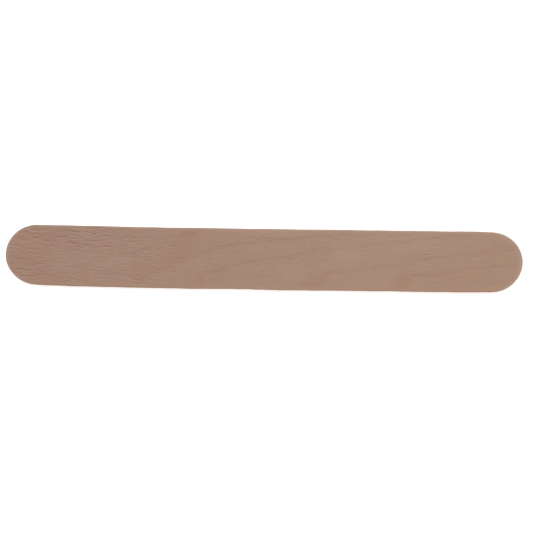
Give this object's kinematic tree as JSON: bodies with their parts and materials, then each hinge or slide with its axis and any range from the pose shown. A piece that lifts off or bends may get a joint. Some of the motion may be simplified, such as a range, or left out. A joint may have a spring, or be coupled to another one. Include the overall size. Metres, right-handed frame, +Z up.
{
  "type": "tongue depressor",
  "caption": "Flat one-piece wooden tongue depressor: a thin straight blade with a full round at each end and softly eased rims.",
  "frame": {"origin": "middle of the flat face that the blade lies on", "axes": "+X along the blade, +Y across it, +Z up through its thickness"},
  "size_m": [0.15, 0.0178, 0.0016],
  "materials": {
    "bare_wood": "matte"
  },
  "bodies": {
    "root": {"blade": "bare_wood"}
  },
  "joints": []
}
